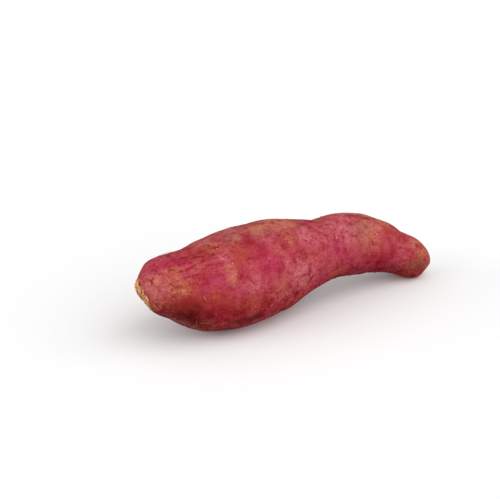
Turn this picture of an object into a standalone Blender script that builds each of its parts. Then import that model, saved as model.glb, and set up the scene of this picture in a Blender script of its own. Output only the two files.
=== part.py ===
"""A sweet potato root, lying as it would on a table.

One solid: a curved root that swells towards its stalk end at -X, where it ends in a blunt corky scar, and
tapers to a rounded tail at +X. It rests on two small flats, under its thick part and under its tail, and the
underside arches clear between them. Sizes are in metres, +Z is up, and the origin lies under the middle of
the root's box, on the surface that it rests on.
"""

import math
import random
from collections import namedtuple

import bmesh
import bpy
from mathutils import Vector, noise

MM = 0.001

# The middle line of the root, from the stalk scar to the tail, and the root's half height and half width
# there, all in millimetres. lean tips a cross-section over, top towards the stalk end, in degrees.
Station = namedtuple("Station", "x y z half_height half_width lean")
STATIONS = (
    Station(-95.2, -15.6, 28.9, 11.0, 10.3, 12),
    Station(-89.0, -17.2, 28.8, 15.6, 14.9, 12),
    Station(-80.5, -18.8, 28.8, 17.7, 17.1, 10),
    Station(-70.0, -19.8, 27.3, 20.9, 20.6, 7),
    Station(-59.0, -19.5, 26.1, 23.8, 23.9, 3),
    Station(-46.0, -17.5, 26.0, 25.8, 26.2, 0),
    Station(-26.0, -13.0, 26.4, 25.9, 26.4, 0),
    Station(-8.0, -10.0, 27.0, 23.8, 24.2, 0),
    Station(8.0, -6.9, 27.8, 19.8, 20.6, 0),
    Station(20.0, -4.2, 27.6, 17.8, 18.6, 0),
    Station(31.0, -1.6, 27.1, 17.5, 18.0, 0),
    Station(44.0, 0.8, 24.7, 17.5, 17.6, 0),
    Station(58.0, 1.8, 20.2, 15.5, 15.9, 0),
    Station(71.0, 0.5, 14.8, 12.2, 13.0, 0),
    Station(80.0, -2.2, 10.4, 11.1, 11.4, 0),
    Station(88.5, -5.6, 8.3, 9.1, 9.5, 0),
)
# Both ends close in a dome, over this length.
SCAR_DOME = 18.0
TAIL_DOME = 12.0

# How finely the skin is divided: faces round the root, rings along it, and rings on each domed end.
FACES_ROUND = 66
RINGS_ALONG = 76
SCAR_RINGS = 12
TAIL_RINGS = 9

# Low swellings all over the root: how high they stand and how far apart they come, in millimetres.
SWELLS = ((1.3, 36.0), (0.7, 14.0))

# Places on the skin are given by x and by turn, the angle round the root in degrees: 0 is the +Y side, 90 the
# top, 180 the -Y side and 270 the underside. Lengths along and around the root, and depths, in millimetres.
Dent = namedtuple("Dent", "x turn along around depth")
DENTS = (
    Dent(17.5, 84, 3.8, 8.0, 1.2),
    Dent(68.0, 104, 3.6, 13.0, 1.0),
    Dent(-30.0, 88, 2.6, 4.5, 0.9),
    Dent(-25.0, 184, 2.4, 4.0, 0.7),
    Dent(-66.0, 132, 2.6, 4.5, 0.7),
    Dent(-59.0, 112, 2.6, 4.0, 0.6),
    Dent(40.0, 98, 3.0, 4.5, 0.8),
    Dent(24.0, 176, 6.0, 7.0, 0.6),
    Dent(-84.0, 220, 3.0, 5.0, 0.8),
)

# Eyes, the shallow slits where side roots grew, stand in loose rows on the sides and the back.
EYE_SEED = 7
EYE_ROWS = (12, 52, 212, 246, 318, 344)
EYES_A_ROW = 5
EYE_FIRST_X, EYE_LAST_X = -74.0, 70.0
EYE_ALONG = 2.5
EYE_AROUND = (4.0, 6.5)
EYE_DEPTH = (0.5, 1.0)
EYE_STRAY = 7.0

# Shallow furrows that run lengthwise. drift is how far one turns round the root on its way, and each wanders
# a little besides, in degrees.
Furrow = namedtuple("Furrow", "start end turn drift depth")
FURROWS = (
    Furrow(-86, -22, 104, 12, 0.6),
    Furrow(-88, -40, 128, 6, 0.6),
    Furrow(-60, 34, 168, -14, 0.4),
    Furrow(-82, 10, 28, 16, 0.7),
    Furrow(-20, 66, 340, -10, 0.6),
    Furrow(-80, -10, 306, -12, 0.6),
    Furrow(8, 78, 60, 10, 0.5),
    Furrow(-30, 60, 228, 8, 0.5),
)
FURROW_WIDTH = 3.4
FURROW_WANDER = 5.0
FURROW_WAVE = 54.0
FURROW_FADE = 10.0

# The corky scar at the stalk end: a low crown with uneven lumps, in a shallow groove where the skin ends.
# The tail ends in the nub of a thin root.
SCAR_CROWN_RADIUS, SCAR_CROWN_HEIGHT = 5.6, 0.9
SCAR_GROOVE_RADIUS, SCAR_GROOVE_WIDTH, SCAR_GROOVE_DEPTH = 7.8, 1.5, 0.25
SCAR_LUMP_HEIGHT, SCAR_LUMP_SPACING = 0.7, 4.5
NUB_RADIUS, NUB_HEIGHT = 2.2, 1.3

# The relief fades out near the surface that the root rests on, which presses two flats this deep into it.
CALM_HEIGHT = 6.0
FLAT_DEPTH = 0.7

# The middle line's direction at a place is taken between points this far on either side, in millimetres.
LINE_STEP = 0.5

SKIN_COLOUR = (0.42, 0.075, 0.11, 1.0)
SKIN_ROUGHNESS = 0.62


def between(stations, x):
    """The station at x, on a smooth curve through its neighbours' values."""
    last = len(stations) - 2
    index = next((i for i in range(last) if x < stations[i + 1].x), last)
    before, after = stations[index], stations[index + 1]
    span = after.x - before.x
    share = (x - before.x) / span

    def slope(i, field):
        low, high = stations[max(i - 1, 0)], stations[min(i + 1, len(stations) - 1)]
        return (getattr(high, field) - getattr(low, field)) / (high.x - low.x)

    values = [x]
    for field in Station._fields[1:]:
        start, end = getattr(before, field), getattr(after, field)
        values.append(
            start * (1 + 2 * share) * (1 - share) ** 2
            + slope(index, field) * span * share * (1 - share) ** 2
            + end * share**2 * (3 - 2 * share)
            - slope(index + 1, field) * span * share**2 * (1 - share)
        )
    return Station(*values)


def dome(ring, rings, length):
    """How far in from the tip of a domed end this ring stands, and how full its girth is."""
    share = (ring / rings) ** 2
    return length * share, math.sqrt(1 - (1 - share) ** 3)


def ring_place(ring):
    """Where the ring of this number stands along the root, and how full its girth is."""
    first, last = STATIONS[0].x, STATIONS[-1].x
    if ring <= SCAR_RINGS:
        inset, fullness = dome(ring, SCAR_RINGS, SCAR_DOME)
        return first + inset, fullness
    if ring >= RINGS_ALONG - TAIL_RINGS:
        inset, fullness = dome(RINGS_ALONG - ring, TAIL_RINGS, TAIL_DOME)
        return last - inset, fullness
    share = (ring - SCAR_RINGS) / (RINGS_ALONG - SCAR_RINGS - TAIL_RINGS)
    return first + SCAR_DOME + (last - TAIL_DOME - first - SCAR_DOME) * share, 1.0


def skin_point(ring, angle):
    """A point of the smooth root, in millimetres: ring counts from the scar, and angle is the turn in radians."""
    x, fullness = ring_place(ring)
    here = between(STATIONS, x)
    ahead = between(STATIONS, min(x + LINE_STEP, STATIONS[-1].x))
    behind = between(STATIONS, max(x - LINE_STEP, STATIONS[0].x))
    along = Vector((ahead.x - behind.x, ahead.y - behind.y, ahead.z - behind.z)).normalized()
    side = Vector((0, 0, 1)).cross(along).normalized()
    lean = math.radians(here.lean)
    up = along.cross(side) * math.cos(lean) - along * math.sin(lean)
    out = side * (here.half_width * math.cos(angle)) + up * (here.half_height * math.sin(angle))
    return Vector(here[:3]) + out * fullness


def bell(distance, width):
    """1 at no distance, falling smoothly to nothing past the width."""
    return math.exp(-((distance / width) ** 2))


def smooth_step(low, high, value):
    """0 below low, 1 above high, and an even curve between them."""
    share = max(0.0, min(1.0, (value - low) / (high - low)))
    return share * share * (3 - 2 * share)


def around(turn, other_turn, girth_radius):
    """The distance round the root from one turn to another."""
    degrees = (turn - other_turn + 180) % 360 - 180
    return math.radians(degrees) * girth_radius


def scatter_eyes():
    """The eyes, strewn along their rows by a seeded draw. Every other row is staggered by half a space."""
    draw = random.Random(EYE_SEED)
    spacing = (EYE_LAST_X - EYE_FIRST_X) / (EYES_A_ROW - 1)
    eyes = []
    for row, row_turn in enumerate(EYE_ROWS):
        for number in range(EYES_A_ROW):
            x = EYE_FIRST_X + spacing * (number + row % 2 / 2) + draw.uniform(-EYE_STRAY, EYE_STRAY)
            turn = row_turn + draw.uniform(-EYE_STRAY, EYE_STRAY)
            eyes.append(Dent(x, turn, EYE_ALONG, draw.uniform(*EYE_AROUND), draw.uniform(*EYE_DEPTH)))
    return eyes


def relief(x, turn, point, girth_radius, dents):
    """How far the skin stands out from the smooth root at this place."""
    height = sum(rise * noise.noise(point / spacing) for rise, spacing in SWELLS)
    for dent in dents:
        reach = math.hypot((x - dent.x) / dent.along, around(turn, dent.turn, girth_radius) / dent.around)
        height -= dent.depth * bell(reach, 1.0)
    for furrow in FURROWS:
        share = (x - furrow.start) / (furrow.end - furrow.start)
        wander = FURROW_WANDER * math.sin(math.tau * x / FURROW_WAVE)
        line = furrow.turn + furrow.drift * share + wander
        fade = smooth_step(furrow.start - FURROW_FADE, furrow.start + FURROW_FADE, x)
        fade *= 1 - smooth_step(furrow.end - FURROW_FADE, furrow.end + FURROW_FADE, x)
        height -= furrow.depth * fade * bell(around(turn, line, girth_radius), FURROW_WIDTH)
    return height


def scar_relief(point, tip):
    """The crown, the groove and the uneven cork of the stalk scar."""
    radius = (point - tip).length
    crown = SCAR_CROWN_HEIGHT * bell(radius, SCAR_CROWN_RADIUS)
    groove = SCAR_GROOVE_DEPTH * bell(radius - SCAR_GROOVE_RADIUS, SCAR_GROOVE_WIDTH)
    lumps = SCAR_LUMP_HEIGHT * noise.noise(point / SCAR_LUMP_SPACING)
    return crown - groove + lumps * bell(radius, SCAR_GROOVE_RADIUS)


def shape_root(mesh):
    """Draws the sphere's points out to the smooth root, and says where on the root each one lies."""
    places = {}
    for vert in mesh.verts:
        ring = round(math.acos(max(-1.0, min(1.0, -vert.co.z))) / math.pi * RINGS_ALONG)
        angle = math.atan2(vert.co.y, vert.co.x)
        x, fullness = ring_place(ring)
        places[vert] = (x, math.degrees(angle), between(STATIONS, x).half_width * fullness)
        vert.co = skin_point(ring, angle)
    mesh.normal_update()
    return places


def add_relief(mesh, places, floor):
    """Raises and sinks the skin, and presses the flats."""
    dents = DENTS + tuple(scatter_eyes())
    scar_tip = skin_point(0, 0.0)
    tail_tip = skin_point(RINGS_ALONG, 0.0)
    for vert, (x, turn, girth_radius) in places.items():
        height = relief(x, turn, vert.co, girth_radius, dents) + scar_relief(vert.co, scar_tip)
        height += NUB_HEIGHT * bell((vert.co - tail_tip).length, NUB_RADIUS)
        vert.co += vert.normal * height * smooth_step(0.0, CALM_HEIGHT, vert.co.z - floor)
        vert.co.z = max(vert.co.z, floor)


def make_root():
    mesh = bmesh.new()
    bmesh.ops.create_uvsphere(mesh, u_segments=FACES_ROUND, v_segments=RINGS_ALONG, radius=1.0)
    places = shape_root(mesh)
    floor = min(vert.co.z for vert in mesh.verts) + FLAT_DEPTH
    add_relief(mesh, places, floor)

    xs = [vert.co.x for vert in mesh.verts]
    ys = [vert.co.y for vert in mesh.verts]
    middle = Vector(((min(xs) + max(xs)) / 2, (min(ys) + max(ys)) / 2, floor))
    bmesh.ops.translate(mesh, verts=mesh.verts, vec=-middle)
    bmesh.ops.scale(mesh, verts=mesh.verts, vec=(MM, MM, MM))
    mesh.normal_update()
    return mesh


def make_skin():
    skin = bpy.data.materials.new("skin")
    skin.use_nodes = True
    shader = skin.node_tree.nodes["Principled BSDF"]
    shader.inputs["Base Color"].default_value = SKIN_COLOUR
    shader.inputs["Roughness"].default_value = SKIN_ROUGHNESS
    return skin


def main():
    for old in list(bpy.data.objects):
        bpy.data.objects.remove(old)
    root = make_root()
    data = bpy.data.meshes.new("sweet_potato")
    root.to_mesh(data)
    root.free()
    data.shade_smooth()
    data.materials.append(make_skin())
    bpy.context.scene.collection.objects.link(bpy.data.objects.new("sweet_potato", data))


main()
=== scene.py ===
"""The looks of a sweet potato root: its mottled skin, corky stalk scar, side-root stubs, hairs and threads.

The root lies on a plain pale floor in soft light. A place on the skin is given by x along the root, in
millimetres, and the turn round it, in degrees: 0 is the +Y side, 90 the top, 180 the -Y side and 270 the
underside. Other lengths are in metres where nothing else is said, and +Z is up.
"""

import math
import random
from collections import namedtuple

import bmesh
import bpy
from mathutils import Matrix, Vector, kdtree, noise
from mathutils.bvhtree import BVHTree


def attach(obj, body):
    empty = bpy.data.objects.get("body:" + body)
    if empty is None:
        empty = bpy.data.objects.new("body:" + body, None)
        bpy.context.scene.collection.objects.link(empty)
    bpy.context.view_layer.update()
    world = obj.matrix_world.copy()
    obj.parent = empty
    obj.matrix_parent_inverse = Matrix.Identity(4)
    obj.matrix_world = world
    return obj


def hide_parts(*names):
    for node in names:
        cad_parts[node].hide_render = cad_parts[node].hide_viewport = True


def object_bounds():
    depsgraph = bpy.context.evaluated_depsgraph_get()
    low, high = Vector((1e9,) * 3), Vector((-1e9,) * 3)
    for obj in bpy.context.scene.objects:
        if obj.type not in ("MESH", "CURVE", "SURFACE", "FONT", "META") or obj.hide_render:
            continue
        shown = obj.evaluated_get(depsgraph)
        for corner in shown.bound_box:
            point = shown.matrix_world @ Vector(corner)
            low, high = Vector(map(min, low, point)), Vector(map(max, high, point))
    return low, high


bl_info = {
    "name": "Sweet Potato",
    "version": (1, 0, 0),
    "blender": (4, 5, 0),
    "location": "3D View > Sidebar > Sweet Potato",
    "description": "Dresses a sweet potato root in its skin, scar and fine roots",
    "category": "Add Mesh",
}

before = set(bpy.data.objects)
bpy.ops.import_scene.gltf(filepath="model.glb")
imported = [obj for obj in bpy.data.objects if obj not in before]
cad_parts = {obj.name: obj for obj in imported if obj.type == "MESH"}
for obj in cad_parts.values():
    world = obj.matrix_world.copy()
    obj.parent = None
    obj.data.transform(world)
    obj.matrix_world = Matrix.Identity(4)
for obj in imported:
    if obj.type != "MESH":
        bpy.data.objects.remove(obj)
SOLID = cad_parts["sweet_potato"]
CAD_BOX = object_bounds()
BODY = "root"
MM = 0.001

# The middle line is drawn through this many slices of the solid, and evened out this many times. The place of
# a point along it is found in this many tries.
LINE_SLICES = 24
LINE_PASSES = 2
LINE_TRIES = 3

# The solid's corners closer than this are one corner, and its triangles pair up into quads that fold and lean
# no more than this.
MERGE_DISTANCE = 1e-6
QUAD_FOLD, QUAD_LEAN = math.radians(60), math.radians(40)

# Relief in the skin's mesh. Low lumps come in three sizes: how much each counts, and how far apart they are.
LUMPS = ((1.0, 0.0060), (0.45, 0.0026), (0.25, 0.0013))
# The furrows run along the root and the slits across it. They lie where a noise is closer to zero than their
# width. The noise is drawn out by these lengths along and across the root, in millimetres, and a broader one
# bends it.
FURROW_ALONG, FURROW_ACROSS, FURROW_WIDTH = 13.0, 2.2, 0.24
SLIT_ALONG, SLIT_ACROSS, SLIT_WIDTH = 1.7, 6.0, 0.16
WANDER, WANDERS_APART = 1.4, 0.012
# Beside the furrows of the wrinkled places: how deep a furrow is elsewhere, and how deep a slit is. The
# skin's colour is darkened in the furrows, slits and pits as painted shade, in a slit more than it is deep.
PLAIN_FURROW_DEPTH, SLIT_DEPTH = 0.16, 0.12
SLIT_DARKENING = 2

# The corky scar where the stalk was cut: the middle of it, how far it reaches, and how ragged its edge is.
SCAR_CENTRE = Vector((-0.0904, -0.0024, 0.0256))
SCAR_RADIUS = 0.0098
SCAR_RAGGED, SCAR_RAGS_APART = 0.0011, 0.0040
SCAR_FRAYED, SCAR_FRAYS_APART = 0.00044, 0.0012
# How deep the cork lies, how high the skin's lip stands round it, and how wide the change between them is.
SCAR_SUNK, SCAR_LIP, SCAR_RIM = 0.00045, 0.00010, 0.0009
# The crack between the cork and the skin shows where its own noise passes these values.
SCAR_GAP, SCAR_GAPS_APART = 0.0007, 0.0028
SCAR_GAP_SHOWS = (-0.05, 0.25)
# The rings of strands in the cork, how often they break round it, and their finer grain. Where these fall
# from the first value of CORK_CRACKS to the second, the cork lies low in cracks that get painted shade.
STRANDS_APART, STRANDS_TURNING = 0.0010, 2.4
GRAIN_SHARE, GRAINS_APART = 0.5, 0.0009
CORK_CRACKS = (0.05, -0.35)
# The tail's tip is all cork within the first of these radii, and has none past the second.
TAIL_CORK = (0.00182, 0.0026)

# A patch is whole up to the first of these shares of its reach and gone past the second. Its edge is ragged,
# so its points are looked for as far as PATCH_SEARCH times its reach.
PATCH_FADE = (0.10, 1.50)
PATCH_RAGGED, PATCH_RAGS_APART = 0.40, 0.0045
PATCH_SEARCH = 2.0

# Patches of colour on the side of the skin that is seen first, layer by layer, each layer over the ones
# before it. A patch has its x and turn, how far it reaches along the root and around it, in millimetres, and
# how much of its colour shows.
Patch = namedtuple("Patch", "layer x turn along around strength")
COLOUR_PATCHES = {
    "magenta": (
        (-84, 104, 8, 6, 0.8), (-75, 108, 8, 4, 0.8), (-67, 148, 5, 5, 0.7), (-46, 176, 7, 4, 0.5),
        (-29, 130, 6, 6, 0.7), (-25, 153, 7, 5, 1.0), (-3, 176, 6, 5, 0.3), (6, 136, 8, 6, 0.5),
        (23, 153, 8, 8, 1.0), (26, 108, 9, 5, 0.6), (30, 176, 7, 5, 0.5), (37, 86, 6, 4, 0.5),
    ),
    "brick": (
        (-85, 238, 4, 5, 0.6), (-83, 130, 5, 5, 0.4), (-80, 147, 4, 4, 0.4), (-76, 170, 10, 8, 0.6),
        (-73, 156, 6, 5, 0.7), (-72, 186, 11, 9, 1.0), (-64, 76, 6, 5, 0.6), (-62, 138, 6, 5, 0.5),
        (-60, 110, 8, 5, 0.7), (-60, 178, 8, 7, 1.0), (-46, 190, 9, 7, 0.9), (-46, 136, 5, 5, 0.5),
        (-41, 82, 6, 4, 0.5), (-41, 127, 8, 8, 0.7), (-36, 188, 7, 5, 0.8), (58, 131, 6, 5, 0.6),
    ),
    # The crimson patches low on the front, at turns of about 190 to 210, are partly deep red skin and partly
    # painted shade: darker and redder low down.
    "crimson": (
        (-83, 118, 7, 9, 0.2), (-72, 180, 7, 4, 0.5), (-70, 111, 6, 2, 0.7), (-67, 149, 4, 4, 0.4),
        (-63, 84, 4, 3, 0.4), (-60, 106, 6, 2, 0.6), (-58, 195, 9, 6, 1.0), (-50, 199, 9, 5, 0.9),
        (-33, 113, 5, 4, 1.0), (-33, 193, 6, 4, 0.7), (-32, 152, 4, 4, 0.5), (-30, 129, 4, 6, 0.6),
        (-22, 206, 10, 4, 0.5), (26, 208, 18, 5, 0.4), (47, 189, 6, 5, 0.8), (56, 200, 8, 8, 0.85),
        (63, 174, 5, 5, 0.7), (68, 116, 9, 3, 0.35), (73, 129, 4, 5, 0.8),
    ),
    # Plum low on the stalk end, at turns 203 to 250, is partly the root's darkest red and partly painted
    # shade.
    "plum": (
        (-76, 194, 7, 5, 0.3), (-73, 250, 9, 9, 0.8), (-70, 203, 5, 7, 1.0), (-70, 216, 10, 10, 1.0),
        (-63, 218, 6, 5, 0.6), (-49, 197, 4, 3, 0.3), (-41, 211, 12, 4, 0.8), (3, 100, 8, 3, 0.6),
        (20, 96, 6, 3, 0.4),
    ),
    "rose": (
        (-88, 148, 6, 7, 1.0), (-51, 125, 5, 5, 0.5), (-39, 167, 6, 6, 0.6), (-21, 121, 4, 4, 0.5),
        (-18, 152, 3, 4, 0.6), (-8, 174, 9, 8, 1.0), (-6, 103, 6, 4, 0.6), (2, 127, 7, 7, 0.9),
        (13, 130, 8, 8, 0.4), (23, 109, 6, 5, 0.6), (29, 135, 8, 8, 0.8), (34, 108, 5, 4, 0.9),
        (36, 88, 6, 4, 0.9), (45, 76, 10, 7, 0.8), (50, 122, 6, 5, 0.7), (68, 155, 4, 6, 0.4),
        (78, 131, 5, 5, 0.6),
    ),
    "tan": (
        (-87, 143, 4, 4, 0.55), (-86, 200, 5, 8, 0.5), (-86, 234, 4, 5, 0.25), (-80, 124, 5, 2, 0.5),
        (-79, 150, 6, 7, 0.45), (-79, 158, 5, 5, 0.8), (-57, 84, 7, 5, 0.4), (-52, 104, 5, 4, 0.8),
        (-51, 151, 4, 6, 0.5), (-38, 104, 4, 4, 0.5), (-26, 181, 5, 5, 0.35), (-20, 94, 11, 5, 1.0),
        (-19, 138, 4, 4, 0.25), (-11, 104, 9, 4, 0.6), (-10, 125, 4, 5, 0.5), (-9, 79, 12, 5, 0.9),
        (-4, 94, 8, 5, 1.0), (44, 134, 7, 8, 0.6), (46, 154, 5, 6, 0.6), (50, 90, 6, 4, 0.8),
        (51, 123, 6, 5, 0.4), (58, 101, 5, 4, 0.7), (82, 127, 5, 4, 0.6), (84, 146, 5, 12, 0.8),
        (88, 176, 4, 6, 0.5),
    ),
    # The greyish patches along the crest, at turns 82 to 86, are partly the skin's own grey coat and partly a
    # painted sheen along the crest.
    "bloom_and_sheen": (
        (-79, 86, 10, 3, 0.36), (-51, 85, 9, 4, 0.6), (-41, 101, 6, 5, 0.6), (-35, 82, 9, 5, 0.8),
        (-22, 108, 8, 4, 0.5), (38, 134, 7, 7, 0.6), (89, 184, 3, 5, 0.6),
    ),
    # The brown patches at x 74 to 84 darken the lower edge of the tail's tip: partly stain, partly painted
    # shade.
    "brown": (
        (40, 94, 4, 1.4, 0.8), (48, 105, 5, 1.5, 0.9), (74, 208, 10, 4, 0.4), (78, 194, 4, 4, 0.65),
        (83, 186, 5, 5, 0.6), (84, 197, 5, 5, 0.8),
    ),
}
LAYERS = tuple(COLOUR_PATCHES)

# The rest of the skin gets patches by a seeded draw: how many, their layers in turn, and the ranges of their
# places, reaches and strengths.
STREWN_SEED = 11
STREWN_COUNT = 64
STREWN_LAYERS = ("tan", "brick", "magenta", "crimson", "rose", "tan", "magenta", "plum", "bloom_and_sheen", "brown")
STREWN_X = (-84.0, 84.0)
STREWN_TURN = (238.0, 430.0)
STREWN_REACH = (4.0, 11.0)
STREWN_STRENGTH = (0.45, 0.95)

# Where the skin is drawn into lengthwise wrinkles, and the small pits on the side that is seen first, given
# in the same way. The pits are darkened with painted shade. Other pits come all over by a seeded draw.
RELIEF_PATCHES = {
    "wrinkled": (
        (-74, 112, 20, 14, 1.0), (-56, 120, 16, 12, 0.7), (-76, 30, 18, 20, 0.8), (-70, 300, 20, 20, 0.7),
        (76, 130, 12, 16, 0.6), (74, 320, 14, 18, 0.8), (26, 40, 22, 14, 0.5),
    ),
    "pit": (
        (-19.5, 186, 1.6, 1.6, 1.0), (-64, 133, 1.6, 1.6, 1.0), (-55, 116, 1.4, 1.4, 0.9),
    ),
}
PIT_SEED = 5
PIT_COUNT = 46
PIT_REACH = (0.8, 1.5)
PIT_STRENGTH = (0.4, 0.9)

# Stubs of broken side roots, pale against the skin: (x, turn) of those on the side that is seen first.
STUBS = ((-27.6, 142), (2.8, 160), (21, 139), (43.7, 183), (49.5, 143), (32.4, 98), (-48.2, 137))
STUB_SEED = 3
STUB_COUNT = 34
STUB_SIDES, STUB_RINGS = 10, 6
STUB_SIZES, STUB_SQUEEZES = (0.8, 1.25), (0.7, 1.0)
# Each stub of that side stands in a dimple, with its reach in millimetres.
STUB_DIMPLE, STUB_DIMPLE_STRENGTH = 1.4, 0.45
STUB_UNEVEN, STUB_UNEVEN_APART = 0.00016, 0.0006

# Hair roots on the side that is seen first: x, turn, and the way that each one sets off, in degrees from +X.
HAIRS = ((-66.9, 215, 200), (-65, 217, 20), (-77.5, 229, 150))
HAIR_SEED = 17
HAIR_COUNT = 24
HAIR_SIDES = 5
HAIR_STEP, HAIR_FEWEST_STEPS = 0.0007, 4
HAIR_CURL = 22.0
HAIR_GIRTHS = (0.6, 1.0)
# How much thinner a hair is at its tip, and how late it thins.
HAIR_THINNING, HAIR_THINNING_POWER = 0.85, 1.5
# A hair starts sunk in the skin, then lies over it and arches up, by these shares of its radius.
HAIR_SUNK, HAIR_LIFT, HAIR_ARCH = 0.5, 0.8, 2.5

# Pale threads lie along the skin through these places, each one an x and a turn, lifted by this share of
# their radius.
THREADS = (
    ((58.6, 88), (60.6, 97), (60.9, 109), (62.6, 117), (65.1, 122), (68.0, 127), (70.0, 131)),
    ((-90.8, 111), (-90.0, 115), (-88.8, 117), (-87.4, 116), (-86.2, 119)),
    ((-66.8, 171), (-65.9, 175), (-65.2, 180)),
)
THREAD_LIFT = 0.2

# The torn strands of the stalk scar run beside its rim, for this far round it, in radians, and between these
# shares of its radius. A noise makes them wander, and changes this fast along and across them.
SCAR_FIBRE_SEED = 23
STRAND_COUNT = 80
STRAND_SIDES, STRAND_FEWEST_STEPS = 6, 5
STRAND_GIRTHS = (0.5, 1.25)
STRAND_SWEEP = (0.35, 1.2)
STRAND_SHARES = (0.25, 1.05)
STRAND_CROWDING = 0.40
STRAND_WANDER, STRAND_WANDERS_ALONG, STRAND_WANDERS_ACROSS = 0.12, 2, 4
STRAND_NOISE_PLACES = (0, 50)
# A strand's ends are sunk in the scar and its middle stands up, by these shares of its radius.
STRAND_SUNK, STRAND_ARCH = 0.5, 1.1

# The finer fibres lie about among the strands. They start within these shares of the scar's area and stray by
# this angle, in radians, from the way round it. Their lengths and girths are shares of the settings.
SCAR_FIBRE_COUNT = 90
SCAR_FIBRE_STARTS = (0.1, 1.05)
SCAR_FIBRE_STRAY = 0.35
SCAR_FIBRE_LENGTHS, SCAR_FIBRE_GIRTHS = (0.4, 1.0), (0.6, 1.1)

# How deep the relief is that the materials add to the meshes.
SKIN_BUMP_DEPTH, ROOT_BUMP_DEPTH = 0.00045, 0.0001

# What the camera looks at, and the floor, which lies a trace below the root.
CAMERA_AIM = Vector((-0.0097, 0.0304, 0.0252))
SENSOR_WIDTH = 36.0
FLOOR_REACH, FLOOR_DROP = 6.0, 0.00002

# The suns: how wide each one spreads, and where it stands round and above the root, in degrees.
Sun = namedtuple("Sun", "spread azimuth elevation")
KEY_SUN = Sun(120, 30, 20)
SIDE_SUN = Sun(60, -95, 8)

# On a sphere of radius 1 round the root: the sky gives way to the bounced light within this much of the
# horizon, and the bounced light is gone this far below it.
HORIZON_SOFTNESS, SHADOW_DEPTH = 0.25, 0.8
WHITE = (1.0, 1.0, 1.0)


def colour(name, description, default):
    """A colour that the sidebar shows, as linear red, green and blue."""
    return bpy.props.FloatVectorProperty(
        name=name, description=description, subtype="COLOR", size=3, min=0, max=1, default=default
    )


def length(name, description, default):
    """A length in metres that the sidebar shows."""
    return bpy.props.FloatProperty(
        name=name, description=description, unit="LENGTH", precision=5, min=0, default=default
    )


def light_strength(name, description, default):
    """The strength of a light, which the sidebar shows."""
    return bpy.props.FloatProperty(name=name, description=description, min=0, default=default)


def camera_angle(name, description, default):
    """An angle that the sidebar shows, given here in degrees."""
    return bpy.props.FloatProperty(
        name=name, description=description, subtype="ANGLE", default=math.radians(default)
    )


class SkinShape(bpy.types.PropertyGroup):
    """How finely the skin is divided, and how high its relief stands."""

    subdivisions: bpy.props.IntProperty(
        name="Subdivisions", description="How often the solid's faces are halved", min=1, max=3, default=2
    )
    lump_height: length("Lumps", "Height of the low lumps all over the skin", 0.00012)
    wrinkle_depth: length("Wrinkles", "Depth of the lengthwise wrinkles where they are strongest", 0.00026)
    pit_depth: length("Pits", "Depth of the deepest pits", 0.00040)
    cork_height: length("Cork", "Height of the strands of the stalk scar", 0.00045)


class SkinColours(bpy.types.PropertyGroup):
    """The colours that the skin is mottled with."""

    ground: colour("Ground", "The pinkish red between the patches", (0.43, 0.054, 0.078))
    magenta: colour("Magenta", "The brightest patches, towards purple", (0.43, 0.026, 0.094))
    brick: colour("Brick", "The warm red patches", (0.37, 0.042, 0.026))
    # Crimson also serves as painted shade low on the front.
    crimson: colour("Crimson", "The deep red patches", (0.31, 0.009, 0.024))
    # Plum is as dark as the painted shade low on the stalk end needs.
    plum: colour("Plum", "The darkest red patches", (0.11, 0.002, 0.003))
    rose: colour("Rose", "The palest pink patches", (0.55, 0.13, 0.155))
    tan: colour("Tan", "The patches where the cork of the skin shows", (0.51, 0.168, 0.092))
    # This grey serves the skin's own greyish coat and a painted sheen along the crest.
    bloom_and_sheen: colour("Bloom", "The greyish patches", (0.38, 0.13, 0.115))
    # Brown also darkens the lower edge of the tail's tip, partly as painted shade.
    brown: colour("Brown", "The brown stains", (0.16, 0.035, 0.018))
    thread: colour("Threads", "What the pale threads and specks add to the skin", (0.20, 0.043, 0.035))
    shade: colour("Shade", "What the dark specks and furrows leave of the skin's colour", (0.60, 0.26, 0.26))
    cork: colour("Cork", "The strands of the stalk scar", (1.0, 0.44, 0.18))
    cork_shade: colour("Cork Shade", "The cracks between the strands", (0.20, 0.045, 0.015))


class FineRoots(bpy.types.PropertyGroup):
    """The stubs of side roots, the hair roots, the pale threads, and the scar's torn strands and fibres."""

    stub_radius: length("Stub Radius", "Radius of the stub of a side root", 0.00062)
    stub_height: length("Stub Height", "How far a stub stands out of the skin", 0.00034)
    hair_radius: length("Hair Radius", "Radius of a hair root where it leaves the skin", 0.00016)
    thread_radius: length("Thread Radius", "Radius of a pale thread at its thicker end", 0.00023)
    hair_shortest: length("Shortest Hair", "Length of the shortest hair root", 0.003)
    hair_longest: length("Longest Hair", "Length of the longest hair root", 0.013)
    strand_radius: length("Strand Radius", "Radius of a torn strand of the scar", 0.00034)
    fibre_radius: length("Fibre Radius", "Radius of a torn fibre of the scar", 0.00016)
    fibre_length: length("Fibre Length", "Length of the longest torn fibre of the scar", 0.0034)
    stub_colour: colour("Stub", "The colour of the stubs", (0.66, 0.17, 0.20))
    hair_colour: colour("Hair", "The colour of the hair roots", (0.50, 0.22, 0.12))
    thread_colour: colour("Thread", "The colour of the pale threads", (0.58, 0.19, 0.15))
    strand_colour: colour("Strand", "The colour of the scar's torn strands and fibres", (1.0, 0.56, 0.28))
    strand_shade: colour("Strand Shade", "The darker parts of the strands and fibres", (0.66, 0.22, 0.09))


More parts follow.
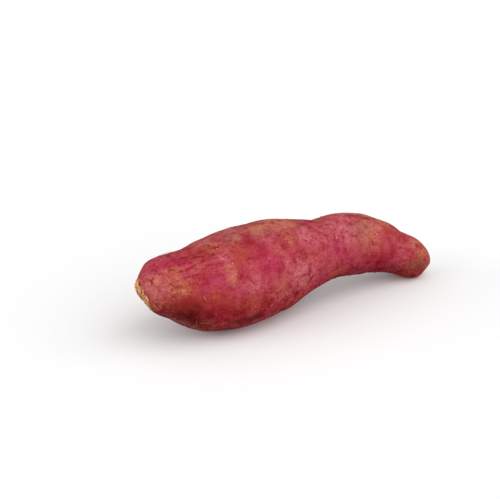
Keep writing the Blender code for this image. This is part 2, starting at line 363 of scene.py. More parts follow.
class Studio(bpy.types.PropertyGroup):
    """The floor, the light and the camera."""

    floor_colour: colour("Floor", "The colour of the floor", (0.97, 0.97, 0.97))
    key: light_strength("Key", "Strength of the soft sun", 2.38)
    side: light_strength("Side", "Strength of the light on the stalk end", 1.8)
    sky: light_strength("Sky", "Strength of the light from above", 0.60)
    bounce: light_strength("Bounce", "Strength of the light from below", 0.60)
    bounce_colour: colour("Bounce Colour", "The colour of the light from below", (1.0, 0.84, 0.76))
    azimuth: camera_angle("Azimuth", "Where the camera stands round the root", -26.5)
    elevation: camera_angle("Elevation", "How far above the horizon the camera stands", 21.5)
    distance: length("Distance", "How far the camera stands from what it looks at", 0.989)
    lens: bpy.props.FloatProperty(
        name="Lens", description="Focal length of the lens, in millimetres", subtype="DISTANCE_CAMERA",
        min=10, default=129.6,
    )


def bell(distance, width):
    """1 at no distance, falling smoothly to nothing past the width."""
    return math.exp(-((distance / width) ** 2))


def smooth_step(low, high, value):
    """0 below low, 1 above high, and an even curve between them."""
    share = max(0.0, min(1.0, (value - low) / (high - low)))
    return share * share * (3 - 2 * share)


Spot = namedtuple("Spot", "x turn radius straight")


class MiddleLine:
    """The root's middle line, drawn through the middles of slices of its solid."""

    def __init__(self, points):
        self.low = min(point.x for point in points)
        self.width = (max(point.x for point in points) - self.low) / LINE_SLICES
        centres = [self.slice_middle(points, number) for number in range(LINE_SLICES + 1)]
        for _ in range(LINE_PASSES):
            inner = [(a + b * 2 + c) / 4 for a, b, c in zip(centres, centres[1:], centres[2:])]
            centres = [centres[0], *inner, centres[-1]]
        self.centres = centres
        self.lengths = [0.0]
        for before, after in zip(centres, centres[1:]):
            self.lengths.append(self.lengths[-1] + (after - before).length)

    def slice_middle(self, points, number):
        """The middle of the slice of this number."""
        x = self.low + self.width * number
        inside = [point for point in points if abs(point.x - x) <= self.width / 2]
        ys = [point.y for point in inside]
        zs = [point.z for point in inside]
        return Vector((x, (min(ys) + max(ys)) / 2, (min(zs) + max(zs)) / 2))

    def at(self, x):
        """The line's point at x, its direction there, and how far along the line it is."""
        steps = max(0.0, min(LINE_SLICES, (x - self.low) / self.width))
        index = min(int(steps), LINE_SLICES - 1)
        share = steps - index
        before, after = self.centres[index], self.centres[index + 1]
        first, last = self.centres[max(index - 1, 0)], self.centres[min(index + 2, LINE_SLICES)]
        reach = self.lengths[index] + (self.lengths[index + 1] - self.lengths[index]) * share
        return before.lerp(after, share), (last - first).normalized(), reach

    def spot(self, point):
        """Where on the root a point lies, and the same point with the root bent straight."""
        x = point.x
        for _ in range(LINE_TRIES):
            centre, along, reach = self.at(x)
            x += (point - centre).dot(along) * along.x
        centre, along, reach = self.at(x)
        side = Vector((0, 0, 1)).cross(along).normalized()
        out = point - centre
        across, rise = out.dot(side), out.dot(along.cross(side))
        turn = math.degrees(math.atan2(rise, across)) % 360
        beyond = out.dot(along)
        return Spot(centre.x / MM, turn, math.hypot(across, rise), Vector((reach + beyond, across, rise)))

    def outward(self, x, turn):
        """The line's point at x, in millimetres, and the direction of this turn from it."""
        centre, along, _ = self.at(x * MM)
        side = Vector((0, 0, 1)).cross(along).normalized()
        angle = math.radians(turn)
        return centre, side * math.cos(angle) + along.cross(side) * math.sin(angle)


class Surface:
    """The skin's mesh, and ways to find places on it."""

    def __init__(self, data):
        self.points = [vert.co.copy() for vert in data.vertices]
        self.normals = [vert.normal.copy() for vert in data.vertices]
        faces = [tuple(face.vertices) for face in data.polygons]
        self.bvh = BVHTree.FromPolygons(self.points, faces)
        self.near = kdtree.KDTree(len(self.points))
        for index, point in enumerate(self.points):
            self.near.insert(point, index)
        self.near.balance()
        self.line = MiddleLine(self.points)

    def place(self, x, turn):
        """The point of the skin at this place, and its normal."""
        start, direction = self.line.outward(x, turn)
        point, normal, _, _ = self.bvh.ray_cast(start, direction)
        if point is None:
            raise RuntimeError(f"no skin at x {x}, turn {turn}")
        return point, normal

    def nearest(self, point):
        """The point of the skin nearest to this one, and its normal."""
        found, normal, _, _ = self.bvh.find_nearest(point)
        return found, normal

    def facing(self, point, reach):
        """The way that the skin faces on the whole within this reach of a point."""
        total = Vector()
        for _, index, _ in self.near.find_range(point, reach):
            total += self.normals[index]
        return total.normalized()


def strewn(draw, count, layers, reach, strength, turns=(0.0, 360.0)):
    """Patches by a seeded draw, in the layers named in turn."""
    made = []
    for number in range(count):
        along = draw.uniform(*reach)
        around = draw.uniform(*reach)
        x, turn = draw.uniform(*STREWN_X), draw.uniform(*turns) % 360
        made.append(Patch(layers[number % len(layers)], x, turn, along, around, draw.uniform(*strength)))
    return made


def all_patches():
    """Every patch of colour and relief: those in the tables, the strewn ones, and the stubs' dimples."""
    tables = {**COLOUR_PATCHES, **RELIEF_PATCHES}
    patches = [Patch(layer, *place) for layer, places in tables.items() for place in places]
    draw = random.Random(STREWN_SEED)
    patches += strewn(draw, STREWN_COUNT, STREWN_LAYERS, STREWN_REACH, STREWN_STRENGTH, STREWN_TURN)
    patches += strewn(random.Random(PIT_SEED), PIT_COUNT, ("pit",), PIT_REACH, PIT_STRENGTH)
    dimple = (STUB_DIMPLE, STUB_DIMPLE, STUB_DIMPLE_STRENGTH)
    patches += [Patch("pit", x, turn, *dimple) for x, turn in STUBS]
    return patches


def paint(surface, spots, patches):
    """How strongly each named layer shows at each point, with ragged edges to the patches."""
    layers = {}
    for patch in patches:
        values = layers.setdefault(patch.layer, [0.0] * len(spots))
        middle, _ = surface.place(patch.x, patch.turn)
        reach = max(patch.along, patch.around) * PATCH_SEARCH * MM
        for point, index, _ in surface.near.find_range(middle, reach):
            spot = spots[index]
            turned = math.radians((spot.turn - patch.turn + 180) % 360 - 180) * spot.radius / MM
            share = math.hypot((spot.x - patch.x) / patch.along, turned / patch.around)
            share += PATCH_RAGGED * noise.noise(point / PATCH_RAGS_APART)
            value = patch.strength * (1 - smooth_step(*PATCH_FADE, share))
            values[index] = max(values[index], value)
    return layers


def scar_share(point, tail):
    """How corky a point is, how high the strands stand there, and how far it lies on the scar's lip and gap.

    The lip of skin stands up round the scar, and the gap is the crack inside it. The tail's tip is corky too.
    """
    ragged = SCAR_RAGGED * noise.noise(point / SCAR_RAGS_APART)
    ragged += SCAR_FRAYED * noise.noise(point / SCAR_FRAYS_APART)
    out = point - SCAR_CENTRE
    distance = out.length + ragged
    cork = 1 - smooth_step(SCAR_RADIUS - SCAR_RIM / 2, SCAR_RADIUS + SCAR_RIM / 2, distance)
    cork = max(cork, 1 - smooth_step(*TAIL_CORK, (point - tail).length + ragged))
    angle = math.atan2(out.z, out.y)
    turning = Vector((math.cos(angle), math.sin(angle))) * STRANDS_TURNING
    place = Vector((distance / STRANDS_APART, *turning))
    strands = noise.noise(place) + GRAIN_SHARE * noise.noise(point / GRAINS_APART)
    lip = bell(distance - SCAR_RADIUS - SCAR_RIM, SCAR_RIM)
    # The gap is a crack inside the lip, which the skin's colour darkens as painted shade.
    gap = bell(distance - SCAR_RADIUS + SCAR_GAP, SCAR_GAP)
    gap *= smooth_step(*SCAR_GAP_SHOWS, noise.noise(point / SCAR_GAPS_APART))
    return cork, strands, lip, gap


def shape_skin(surface, spots, layers, shape):
    """How far each point moves out, the painted shade of its furrow, pit or crack, and how corky it is."""
    tail = max(surface.points, key=lambda point: point.x)
    heights, crevice_shades, corks = [], [], []
    for index, (point, spot) in enumerate(zip(surface.points, spots)):
        along, across, rise = spot.straight / MM
        wander = WANDER * noise.noise(point / WANDERS_APART)
        lengthwise = Vector(
            (along / FURROW_ALONG, across / FURROW_ACROSS + wander, rise / FURROW_ACROSS - wander)
        )
        crossing = Vector((along / SLIT_ALONG, across / SLIT_ACROSS + wander, rise / SLIT_ACROSS))
        wrinkled = layers["wrinkled"][index]
        furrow = max(0.0, 1 - abs(noise.noise(lengthwise)) / FURROW_WIDTH)
        furrow *= PLAIN_FURROW_DEPTH + (1 - PLAIN_FURROW_DEPTH) * wrinkled
        slit = max(0.0, 1 - abs(noise.noise(crossing)) / SLIT_WIDTH) * SLIT_DEPTH * (1 - wrinkled)
        pit = layers["pit"][index]
        cork, strands, lip, gap = scar_share(point, tail)
        height = shape.lump_height * sum(share * noise.noise(point / apart) for share, apart in LUMPS)
        height -= shape.wrinkle_depth * (furrow + slit)
        height *= 1 - cork
        height -= shape.pit_depth * pit
        height += (shape.cork_height * strands - SCAR_SUNK) * cork + SCAR_LIP * lip
        heights.append(height)
        # The furrows, slits, pits, the cork's cracks and the gap give the painted shade of the skin's colour.
        crack = cork * smooth_step(*CORK_CRACKS, strands)
        crevice_shades.append(min(1.0, max(furrow, slit * SLIT_DARKENING, pit, crack, gap)))
        corks.append(cork)
    return heights, crevice_shades, corks


def refined_copy(node, name, levels):
    """A new object with the node's mesh, merged, turned back into quads and evenly subdivided."""
    mesh = bmesh.new()
    mesh.from_mesh(node.data)
    bmesh.ops.remove_doubles(mesh, verts=mesh.verts, dist=MERGE_DISTANCE)
    bmesh.ops.join_triangles(
        mesh, faces=mesh.faces, angle_face_threshold=QUAD_FOLD, angle_shape_threshold=QUAD_LEAN
    )
    coarse = bpy.data.meshes.new(name)
    mesh.to_mesh(coarse)
    mesh.free()
    obj = bpy.data.objects.new(name, coarse)
    bpy.context.scene.collection.objects.link(obj)
    modifier = obj.modifiers.new("finer", "SUBSURF")
    modifier.levels = modifier.render_levels = levels
    fine = bpy.data.meshes.new_from_object(obj.evaluated_get(bpy.context.evaluated_depsgraph_get()))
    obj.modifiers.remove(modifier)
    obj.data = fine
    fine.name = name
    bpy.data.meshes.remove(coarse)
    return obj


def store(data, name, values, kind="FLOAT", field="value"):
    """Keeps a value for each point of a mesh, which materials read by this name."""
    data.attributes.new(name, kind, "POINT").data.foreach_set(field, values)


class Shade:
    """The output of a node. Python's operators on it add Math nodes, and node() adds any other kind."""

    def __init__(self, tree, socket=None):
        self.tree = tree
        self.socket = socket

    def node(self, kind, settings=None, inputs=None, output=0):
        """Adds a node: its settings first, then the values or links of its sockets."""
        made = self.tree.nodes.new(kind)
        for name, value in (settings or {}).items():
            setattr(made, name, value)
        for name, value in (inputs or {}).items():
            if isinstance(value, Shade):
                self.tree.links.new(value.socket, made.inputs[name])
            else:
                made.inputs[name].default_value = value
        return Shade(self.tree, made.outputs[output])

    def math(self, operation, first, second):
        """Adds a Math node of this kind."""
        return self.node("ShaderNodeMath", {"operation": operation}, {0: first, 1: second})

    def __add__(self, other):
        return self.math("ADD", self, other)

    __radd__ = __add__

    def __sub__(self, other):
        return self.math("SUBTRACT", self, other)

    def __rsub__(self, other):
        return self.math("SUBTRACT", other, self)

    def __mul__(self, other):
        return self.math("MULTIPLY", self, other)

    __rmul__ = __mul__

    def step(self, low, high):
        """0 below low, 1 above high, and an even curve between them."""
        settings = {"interpolation_type": "SMOOTHSTEP"}
        return self.node("ShaderNodeMapRange", settings, {"Value": self, "From Min": low, "From Max": high})

    def ridge(self, width):
        """1 along the lines where this noise has its middle value, falling to 0 on both sides of them."""
        away = self - 0.5
        return self.math("ABSOLUTE", away, 0.0).step(width, 0.0)

    def stretched(self, x, y, z):
        """A vector with its parts multiplied, so that a pattern on it is drawn out where they are small."""
        return self.node("ShaderNodeVectorMath", {"operation": "MULTIPLY"}, {0: self, 1: (x, y, z)})

    def noise(self, size, detail=2.0, roughness=0.5, distortion=0.0):
        """Noise with features about this size, in metres, from 0 to 1."""
        values = {"Vector": self, "Scale": 1 / size, "Detail": detail}
        values |= {"Roughness": roughness, "Distortion": distortion}
        return self.node("ShaderNodeTexNoise", {}, values)

    def mixed(self, over, factor, blend="MIX"):
        """This colour with another one over it."""
        if not isinstance(over, Shade):
            over = (*over, 1.0)
        values = {"Factor": factor, 6: self, 7: over}
        return self.node("ShaderNodeMix", {"data_type": "RGBA", "blend_type": blend}, values, output=2)

    def attribute(self, name, output=2):
        """What store() kept under this name, as a number, or as a vector with output 1."""
        return self.node("ShaderNodeAttribute", {"attribute_name": name}, output=output)

    def colour(self, value):
        """A colour that stays the same all over."""
        made = self.node("ShaderNodeRGB")
        made.socket.default_value = (*value, 1.0)
        return made


def new_material(name, **constants):
    """A material whose shader has these constant values, with the shader and a Shade to build on."""
    material = bpy.data.materials.new(name)
    material.use_nodes = True
    shader = material.node_tree.nodes["Principled BSDF"]
    for socket, value in constants.items():
        shader.inputs[socket.replace("_", " ")].default_value = value
    return material, shader, Shade(material.node_tree)


def link(value, shader, socket):
    """Joins a value to this socket of a shader."""
    value.tree.links.new(value.socket, shader.inputs[socket])


def bump(height, depth):
    """A normal from a height between 0 and 1, for relief of this depth in metres."""
    return height.node("ShaderNodeBump", {}, {"Height": height, "Distance": depth, "Strength": 1.0})


def skin_material(colours):
    """The mottled skin: clouds of colour, the named patches, threads and specks, and cork on the scars."""
    material, shader, start = new_material("sweet_potato_skin", Specular_IOR_Level=0.03)
    straight = start.attribute("straight", output=1)
    crevice_shade = start.attribute("crevice_shade")
    cork = start.attribute("cork")
    wrinkled = start.attribute("wrinkled")
    rise = start.node("ShaderNodeSeparateXYZ", {}, {"Vector": straight}, output=2)

    # The patterns: each one's size in metres, its detail, roughness and distortion. Stretching draws one out
    # along or across the root, and a ridge makes fine lines of it.
    clouds = straight.noise(0.024, 2.0, 0.5)
    drifts = straight.stretched(0.7, 1, 1).noise(0.010, 3.0, 0.6, 0.6)
    mottle = straight.noise(0.0042, 3.0, 0.6, 0.3)
    flecks = straight.noise(0.0015, 3.0, 0.65, 0.1)
    stipple = straight.noise(0.0006, 2.0, 0.6)
    felt = straight.noise(0.0034, 3.0, 0.62, 1.6).ridge(0.05)
    threads = straight.stretched(1.0, 0.45, 0.45).noise(0.0022, 2.0, 0.6, 1.2).ridge(0.05)
    streaks = straight.stretched(0.3, 1.0, 1.0).noise(0.0021, 2.0, 0.6, 0.5).ridge(0.05)
    creases = straight.stretched(0.14, 1.0, 1.0).noise(0.0019, 2.0, 0.6, 0.5)

    ground = start.colour(colours.ground)
    skin = ground.mixed(colours.magenta, clouds.step(0.48, 0.68) * 0.6)
    skin = skin.mixed(colours.crimson, clouds.step(0.52, 0.34) * 0.35)
    skin = skin.mixed(colours.tan, drifts.step(0.50, 0.74) * 0.55)
    skin = skin.mixed(colours.crimson, drifts.step(0.48, 0.28) * 0.60)
    broken = 1 + (mottle - 0.5) * 3.0 + (flecks - 0.5) * 3.0
    for name in LAYERS:
        skin = skin.mixed(getattr(colours, name), start.attribute(name) * broken)

    pale = felt * (mottle + drifts).step(0.8, 1.2) * 0.55
    pale += threads * (1.1 - drifts).step(0.4, 0.8) * 0.45
    pale += streaks * clouds.step(0.40, 0.60) * 0.45
    # In the wrinkled places the crests of the creases are painted paler: painted highlight.
    pale += creases.step(0.50, 0.62) * wrinkled * 0.55
    # A step shows nothing at its first value of a pattern and all at its second, times the factor after it.
    # The grain is stronger low on the root, where the skin is scuffed.
    scuffed = 1 + rise.step(0.002, -0.012) * 1.3
    light = mottle.step(0.52, 0.76) * 0.45 + flecks.step(0.52, 0.76) * 0.55 + stipple.step(0.50, 0.72) * 0.42
    dark = mottle.step(0.50, 0.28) * 0.60 + flecks.step(0.50, 0.26) * 0.60 + stipple.step(0.50, 0.28) * 0.50
    pale += light * scuffed
    dark *= scuffed
    # In the wrinkled places the grooves of the creases are painted darker: painted shade.
    dark += creases.step(0.48, 0.34) * wrinkled * 0.70
    # The furrows, slits, pits and cracks darken the skin: painted shade.
    dark += crevice_shade * (1 - cork) * 0.30
    pale *= 1 - start.attribute("plum") * 0.75 - start.attribute("crimson") * 0.4
    skin = skin.mixed(colours.thread, pale, "SCREEN").mixed(colours.shade, dark, "MULTIPLY")

    # The cork is darker in its cracks, as painted shade, and at random where a noise is low.
    cracks = crevice_shade + (0.6 - straight.noise(0.0008, 3.0, 0.7)) * 1.8
    corky = start.colour(colours.cork).mixed(colours.cork_shade, cracks.step(0.1, 0.8))
    link(skin.mixed(corky, cork), shader, "Base Color")
    link(0.75 - felt * 0.10 + cork * 0.15, shader, "Roughness")
    relief = felt * 0.15 + threads * 0.15 + flecks * 0.5 + stipple * 0.3 + creases * wrinkled * 0.8
    link(bump(relief, SKIN_BUMP_DEPTH), shader, "Normal")
    return material


def plain_root_material(name, base, shade, roughness):
    """A fine root or fibre: its colour, broken by a second one."""
    material, shader, start = new_material(name, Specular_IOR_Level=0.3)
    patches = start.node("ShaderNodeTexCoord", output=3).noise(0.0013, 3.0, 0.6)
    link(start.colour(base).mixed(shade, patches.step(0.40, 0.72)), shader, "Base Color")
    link(roughness - patches * 0.15, shader, "Roughness")
    link(bump(patches, ROOT_BUMP_DEPTH), shader, "Normal")
    return material


def finished_skin():
    """The surface of the finished skin, which the fine roots grow from."""
    skin = bpy.data.objects.get("sweet_potato_skin")
    if skin is None:
        raise RuntimeError("make the skin before the fine roots")
    return Surface(skin.data)


def finish_piece(mesh, name, material):
    """Turns a bmesh into a piece of the root that rides on its body, with nothing of it below the floor."""
    for vert in mesh.verts:
        vert.co.z = max(vert.co.z, 0.0)
    mesh.normal_update()
    bmesh.ops.recalc_face_normals(mesh, faces=mesh.faces)
    data = bpy.data.meshes.new(name)
    mesh.to_mesh(data)
    mesh.free()
    data.shade_smooth()
    data.materials.append(material)
    obj = bpy.data.objects.new(name, data)
    bpy.context.scene.collection.objects.link(obj)
    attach(obj, BODY)
    return obj


def add_hair(mesh, path, radius, sides=HAIR_SIDES):
    """A tapered tube along the path, closed at both ends."""
    heading = (path[1] - path[0]).normalized()
    place = Matrix.Translation(path[0]) @ heading.to_track_quat("Z", "Y").to_matrix().to_4x4()
    ring = bmesh.ops.create_circle(mesh, cap_ends=True, segments=sides, radius=radius, matrix=place)["verts"]
    face = ring[0].link_faces[0]
    girth = 1.0
    for number, (before, after) in enumerate(zip(path, path[1:]), start=1):
        made = bmesh.ops.extrude_face_region(mesh, geom=[face])["geom"]
        ring = [item for item in made if isinstance(item, bmesh.types.BMVert)]
        face = next(item for item in made if isinstance(item, bmesh.types.BMFace))
        thinner = 1 - HAIR_THINNING * (number / (len(path) - 1)) ** HAIR_THINNING_POWER
        turned = (after - before).normalized()
        bend = heading.rotation_difference(turned).to_matrix().to_4x4() @ Matrix.Scale(thinner / girth, 4)
        moved = Matrix.Translation(after) @ bend @ Matrix.Translation(-before)
        bmesh.ops.transform(mesh, matrix=moved, verts=ring)
        heading, girth = turned, thinner


def creep(surface, start, heading, reach, draw, radius):
    """The path of a hair of this radius over the skin, curling as it goes and a little off the skin."""
    count = max(HAIR_FEWEST_STEPS, round(reach / HAIR_STEP))
    place, normal = surface.nearest(start)
    path = [place - normal * radius * HAIR_SUNK]
    for number in range(1, count + 1):
        heading = (heading - normal * heading.dot(normal)).normalized()
        heading = Matrix.Rotation(math.radians(draw.gauss(0, HAIR_CURL)), 3, normal) @ heading
        place, normal = surface.nearest(place + heading * HAIR_STEP)
        rise = radius * (HAIR_LIFT + HAIR_ARCH * math.sin(math.pi * number / count))
        point = place + normal * rise
        point.z = max(point.z, radius)
        path.append(point)
    return path


def thread_path(surface, places, lift):
    """A path along the skin through the places, lifted a little off it."""
    path = []
    for (x, turn), (next_x, next_turn) in zip(places, places[1:]):
        start, _ = surface.place(x, turn)
        end, _ = surface.place(next_x, next_turn)
        count = max(1, round((end - start).length / HAIR_STEP))
        for number in range(count):
            point, normal = surface.nearest(start.lerp(end, number / count))
            path.append(point + normal * lift)
    return path


def strand_path(surface, axis, spoke, draw, radius):
    """The path of a strand of this radius beside the rim of the stalk scar, crowded towards the rim."""
    nearest, furthest = STRAND_SHARES
    share = nearest + (furthest - nearest) * draw.random() ** STRAND_CROWDING
    start, sweep = draw.uniform(0, math.tau), draw.uniform(*STRAND_SWEEP)
    noise_place = draw.uniform(*STRAND_NOISE_PLACES)
    count = max(STRAND_FEWEST_STEPS, round(SCAR_RADIUS * share * sweep / HAIR_STEP))
    path = []
    for number in range(count + 1):
        part = number / count
        along = start + sweep * part * STRAND_WANDERS_ALONG
        wander = 1 + STRAND_WANDER * noise.noise(Vector((along, share * STRAND_WANDERS_ACROSS, noise_place)))
        out = Matrix.Rotation(start + sweep * part, 3, axis) @ spoke
        point, normal = surface.nearest(SCAR_CENTRE + out * SCAR_RADIUS * min(share * wander, furthest))
        path.append(point + normal * radius * (STRAND_ARCH * math.sin(math.pi * part) - STRAND_SUNK))
    return path


class SWEETPOTATO_OT_skin(bpy.types.Operator):
    """Makes the fine skin from the solid, with its relief and its mottled colours"""

    bl_idname = "sweet_potato.skin"
    bl_label = "Skin"

    def execute(self, context):
        shape = context.scene.sweet_potato_shape
        skin = refined_copy(SOLID, "sweet_potato_skin", shape.subdivisions)
        data = skin.data
        surface = Surface(data)
        spots = [surface.line.spot(point) for point in surface.points]
        layers = paint(surface, spots, all_patches())
        heights, crevice_shades, corks = shape_skin(surface, spots, layers, shape)
        low, high = CAD_BOX
        for vert, normal, height in zip(data.vertices, surface.normals, heights):
            point = vert.co + normal * height
            vert.co = [max(low[axis], min(high[axis], point[axis])) for axis in range(3)]
        for name in (*LAYERS, "wrinkled"):
            store(data, name, layers[name])
        store(data, "crevice_shade", crevice_shades)
        store(data, "cork", corks)
        store(data, "straight", [part for spot in spots for part in spot.straight], "FLOAT_VECTOR", "vector")
        data.shade_smooth()
        data.materials.clear()
        data.materials.append(skin_material(context.scene.sweet_potato_colours))
        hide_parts("sweet_potato")
        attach(skin, BODY)
        return {"FINISHED"}


class SWEETPOTATO_OT_stubs(bpy.types.Operator):
    """Sets the pale stubs of broken side roots in the skin"""

    bl_idname = "sweet_potato.stubs"
    bl_label = "Side-Root Stubs"

    def execute(self, context):
        roots = context.scene.sweet_potato_roots
        surface = finished_skin()
        draw = random.Random(STUB_SEED)
        places = list(STUBS) + [
            (draw.uniform(*STREWN_X), draw.uniform(*STREWN_TURN) % 360) for _ in range(STUB_COUNT)
        ]
        mesh = bmesh.new()
        for x, turn in places:
            point, normal = surface.place(x, turn)
            upright = normal.to_track_quat("Z", "Y").to_matrix().to_4x4()
            size = draw.uniform(*STUB_SIZES)
            radius, height = roots.stub_radius * size, roots.stub_height * size
            squeeze = Matrix.Diagonal((radius, radius * draw.uniform(*STUB_SQUEEZES), height, 1.0))
            spin = Matrix.Rotation(draw.uniform(0, math.tau), 4, "Z")
            bmesh.ops.create_uvsphere(
                mesh, u_segments=STUB_SIDES, v_segments=STUB_RINGS, radius=1.0,
                matrix=Matrix.Translation(point) @ upright @ spin @ squeeze,
            )
        # Without this seed, noise_vector would take one from the clock.
        noise.seed_set(STUB_SEED)
        for vert in mesh.verts:
            vert.co += noise.noise_vector(vert.co / STUB_UNEVEN_APART) * STUB_UNEVEN
        colours = context.scene.sweet_potato_colours
        material = plain_root_material("sweet_potato_stub", roots.stub_colour, colours.rose, 0.6)
        finish_piece(mesh, "sweet_potato_stubs", material)
        return {"FINISHED"}


class SWEETPOTATO_OT_hairs(bpy.types.Operator):
    """Lays the thin hair roots over the skin"""

    bl_idname = "sweet_potato.hairs"
    bl_label = "Hair Roots"

    def execute(self, context):
        roots = context.scene.sweet_potato_roots
        surface = finished_skin()
        draw = random.Random(HAIR_SEED)
        starts = list(HAIRS) + [
            (draw.uniform(*STREWN_X), draw.uniform(*STREWN_TURN) % 360, draw.uniform(0, 360))
            for _ in range(HAIR_COUNT)
        ]
        mesh = bmesh.new()
        for x, turn, way in starts:
            point, normal = surface.place(x, turn)
            along = Vector((1, 0, 0)) - normal * normal.x
            heading = Matrix.Rotation(math.radians(way), 3, normal) @ along.normalized()
            reach = draw.uniform(roots.hair_shortest, roots.hair_longest)
            radius = roots.hair_radius * draw.uniform(*HAIR_GIRTHS)
            add_hair(mesh, creep(surface, point, heading, reach, draw, radius), radius)
        colours = context.scene.sweet_potato_colours
        material = plain_root_material("sweet_potato_hair", roots.hair_colour, colours.brown, 0.7)
        finish_piece(mesh, "sweet_potato_hair_roots", material)
        return {"FINISHED"}


class SWEETPOTATO_OT_threads(bpy.types.Operator):
    """Lays the pale threads along the skin"""

    bl_idname = "sweet_potato.threads"
    bl_label = "Pale Threads"

    def execute(self, context):
        roots = context.scene.sweet_potato_roots
        surface = finished_skin()
        mesh = bmesh.new()
        for places in THREADS:
            path = thread_path(surface, places, roots.thread_radius * THREAD_LIFT)
            add_hair(mesh, path, roots.thread_radius)
        material = plain_root_material("sweet_potato_thread", roots.thread_colour, roots.stub_colour, 0.7)
        finish_piece(mesh, "sweet_potato_threads", material)
        return {"FINISHED"}


class SWEETPOTATO_OT_scar_fibres(bpy.types.Operator):
    """Frays the stalk scar with torn strands and finer fibres"""

    bl_idname = "sweet_potato.scar_fibres"
    bl_label = "Scar Fibres"

    def execute(self, context):
        roots = context.scene.sweet_potato_roots
        surface = finished_skin()
        draw = random.Random(SCAR_FIBRE_SEED)
        axis = surface.facing(SCAR_CENTRE, SCAR_RADIUS)
        spoke = axis.orthogonal().normalized()
        mesh = bmesh.new()
        for _ in range(STRAND_COUNT):
            radius = roots.strand_radius * draw.uniform(*STRAND_GIRTHS)
            add_hair(mesh, strand_path(surface, axis, spoke, draw, radius), radius, STRAND_SIDES)
        for _ in range(SCAR_FIBRE_COUNT):
            out = Matrix.Rotation(draw.uniform(0, math.tau), 3, axis) @ spoke
            start = SCAR_CENTRE + out * SCAR_RADIUS * math.sqrt(draw.uniform(*SCAR_FIBRE_STARTS))
            heading = Matrix.Rotation(draw.gauss(math.pi / 2, SCAR_FIBRE_STRAY), 3, axis) @ out
            reach = roots.fibre_length * draw.uniform(*SCAR_FIBRE_LENGTHS)
            radius = roots.fibre_radius * draw.uniform(*SCAR_FIBRE_GIRTHS)
            add_hair(mesh, creep(surface, start, heading, reach, draw, radius), radius)
        strand, shade = roots.strand_colour, roots.strand_shade
        material = plain_root_material("sweet_potato_scar_fibre", strand, shade, 0.75)
        finish_piece(mesh, "sweet_potato_scar_fibres", material)
        return {"FINISHED"}


def standing(azimuth, elevation):
    """The way from the root towards what stands at these angles, with azimuth 0 on the -Y side."""
    flat = math.cos(elevation)
    return Vector((math.sin(azimuth) * flat, -math.cos(azimuth) * flat, math.sin(elevation)))


def add_sun(name, strength, sun):
    """A soft light from far away."""
    light = bpy.data.lights.new(name, "SUN")
    light.energy = strength
    light.angle = math.radians(sun.spread)
    back = standing(math.radians(sun.azimuth), math.radians(sun.elevation))
    obj = bpy.data.objects.new(name, light)
    obj.rotation_mode = "QUATERNION"
    obj.rotation_quaternion = back.to_track_quat("Z", "Y")
    bpy.context.scene.collection.objects.link(obj)


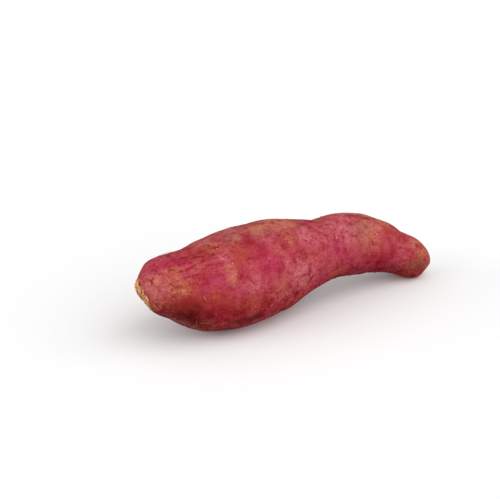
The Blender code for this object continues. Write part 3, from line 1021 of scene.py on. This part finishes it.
class SWEETPOTATO_OT_stage(bpy.types.Operator):
    """Sets out the floor, the lights and the camera"""

    bl_idname = "sweet_potato.stage"
    bl_label = "Stage"

    def execute(self, context):
        scene = context.scene
        studio = scene.sweet_potato_studio
        mesh = bmesh.new()
        bmesh.ops.create_grid(mesh, x_segments=1, y_segments=1, size=FLOOR_REACH)
        bmesh.ops.translate(mesh, verts=mesh.verts, vec=(0, 0, -FLOOR_DROP))
        data = bpy.data.meshes.new("floor")
        mesh.to_mesh(data)
        mesh.free()
        material, shader, _ = new_material("floor", Roughness=0.9, Specular_IOR_Level=0.1)
        shader.inputs["Base Color"].default_value = (*studio.floor_colour, 1.0)
        data.materials.append(material)
        floor = bpy.data.objects.new("floor", data)
        scene.collection.objects.link(floor)

        # Bounced light passes the floor and comes from the world's lower half instead, which is dimmer, and
        # dimmest straight below, where the root stands in its own shadow.
        floor.visible_diffuse = floor.visible_glossy = False

        world = bpy.data.worlds.new("studio")
        world.use_nodes = True
        start = Shade(world.node_tree)
        way = start.node("ShaderNodeTexCoord")
        height = start.node("ShaderNodeSeparateXYZ", {}, {"Vector": way}, output=2)
        above = height.step(-HORIZON_SOFTNESS, HORIZON_SOFTNESS)
        strength = above * (studio.sky - studio.bounce)
        strength += height.step(-SHADOW_DEPTH, 0.0) * studio.bounce
        background = world.node_tree.nodes["Background"]
        link(start.colour(studio.bounce_colour).mixed(WHITE, above), background, "Color")
        link(strength, background, "Strength")
        scene.world = world
        add_sun("key", studio.key, KEY_SUN)
        add_sun("side", studio.side, SIDE_SUN)

        lens = bpy.data.cameras.new("camera")
        lens.lens = studio.lens
        lens.sensor_width = SENSOR_WIDTH
        camera = bpy.data.objects.new("camera", lens)
        back = standing(studio.azimuth, studio.elevation)
        camera.location = CAMERA_AIM + back * studio.distance
        camera.rotation_mode = "QUATERNION"
        camera.rotation_quaternion = back.to_track_quat("Z", "Y")
        scene.collection.objects.link(camera)
        scene.camera = camera
        scene.view_settings.view_transform = "Standard"
        return {"FINISHED"}


class SWEETPOTATO_PT_sidebar(bpy.types.Panel):
    """The pieces, and the sizes and colours that they are made with"""

    bl_idname = "SWEETPOTATO_PT_sidebar"
    bl_label = "Sweet Potato"
    bl_space_type = "VIEW_3D"
    bl_region_type = "UI"
    bl_category = "Sweet Potato"

    def draw(self, context):
        for group, operators in SECTIONS:
            settings = getattr(context.scene, group)
            box = self.layout.box()
            for name in settings.__annotations__:
                box.prop(settings, name)
            for operator in operators:
                box.operator(operator.bl_idname)


GROUPS = {
    "sweet_potato_studio": Studio,
    "sweet_potato_shape": SkinShape,
    "sweet_potato_colours": SkinColours,
    "sweet_potato_roots": FineRoots,
}
OPERATORS = (
    SWEETPOTATO_OT_stage,
    SWEETPOTATO_OT_skin,
    SWEETPOTATO_OT_stubs,
    SWEETPOTATO_OT_hairs,
    SWEETPOTATO_OT_threads,
    SWEETPOTATO_OT_scar_fibres,
)
SECTIONS = (
    ("sweet_potato_studio", (SWEETPOTATO_OT_stage,)),
    ("sweet_potato_shape", (SWEETPOTATO_OT_skin,)),
    ("sweet_potato_colours", ()),
    ("sweet_potato_roots", OPERATORS[2:]),
)


def register():
    for made in (*GROUPS.values(), *OPERATORS, SWEETPOTATO_PT_sidebar):
        bpy.utils.register_class(made)
    for name, group in GROUPS.items():
        setattr(bpy.types.Scene, name, bpy.props.PointerProperty(type=group))


def unregister():
    for name in GROUPS:
        delattr(bpy.types.Scene, name)
    for made in (SWEETPOTATO_PT_sidebar, *reversed(OPERATORS), *GROUPS.values()):
        bpy.utils.unregister_class(made)


def main():
    register()
    bpy.ops.sweet_potato.stage()
    bpy.ops.sweet_potato.skin()
    bpy.ops.sweet_potato.stubs()
    bpy.ops.sweet_potato.hairs()
    bpy.ops.sweet_potato.threads()
    bpy.ops.sweet_potato.scar_fibres()


if __name__ == "__main__":
    main()
